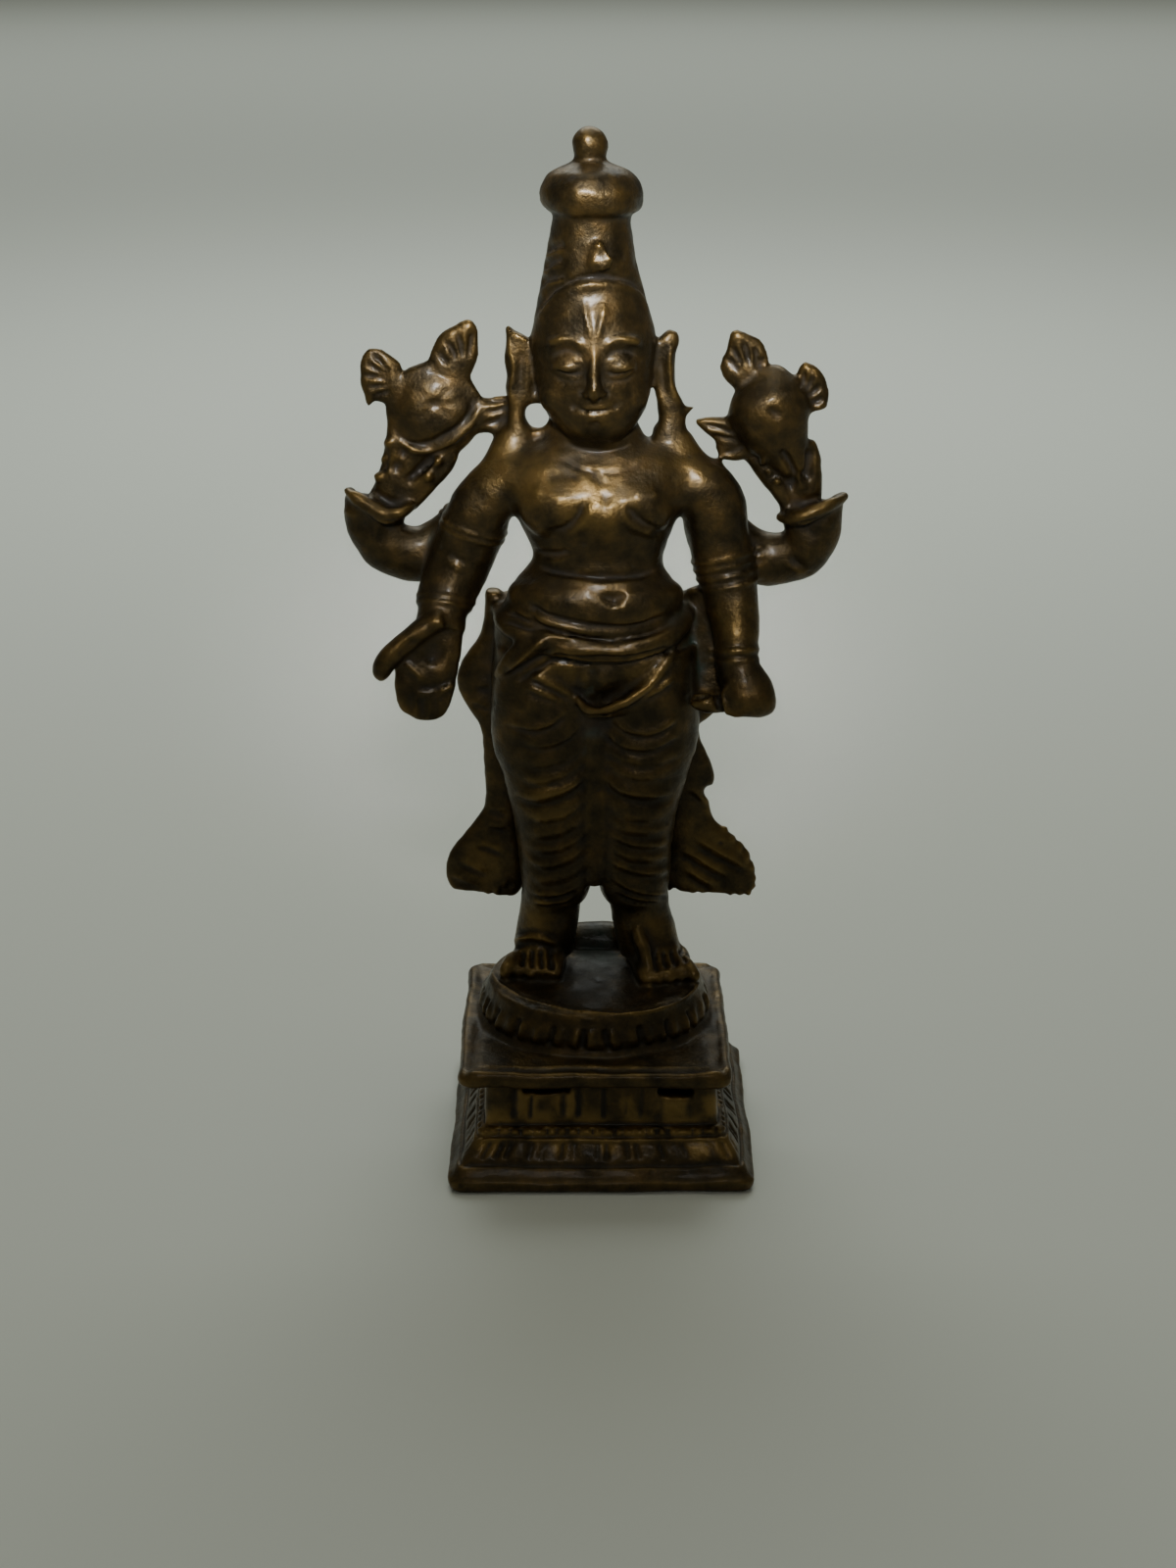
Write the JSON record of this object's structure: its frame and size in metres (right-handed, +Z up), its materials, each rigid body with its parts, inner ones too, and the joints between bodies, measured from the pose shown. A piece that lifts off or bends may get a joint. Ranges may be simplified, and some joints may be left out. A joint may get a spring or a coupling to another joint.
{
  "type": "small bronze vishnu figure on a lotus and plinth",
  "caption": "Small cast bronze standing four-armed figure with tall crown, discus and conch, on an oval lotus and hollow square plinth.",
  "frame": {"origin": "on the ground, under the middle of the plinth's top slab and of the whole outline", "axes": "+Z up, the figure faces -Y, +X to the viewer's right"},
  "size_m": [0.0312, 0.019, 0.0631],
  "materials": {
    "bronze": "cast copper alloy, dark brown patina rubbed to golden brown on the high parts, soft gloss, specks of green corrosion in the recesses"
  },
  "bodies": {
    "root": {"figure_and_plinth": "bronze"}
  },
  "joints": []
}
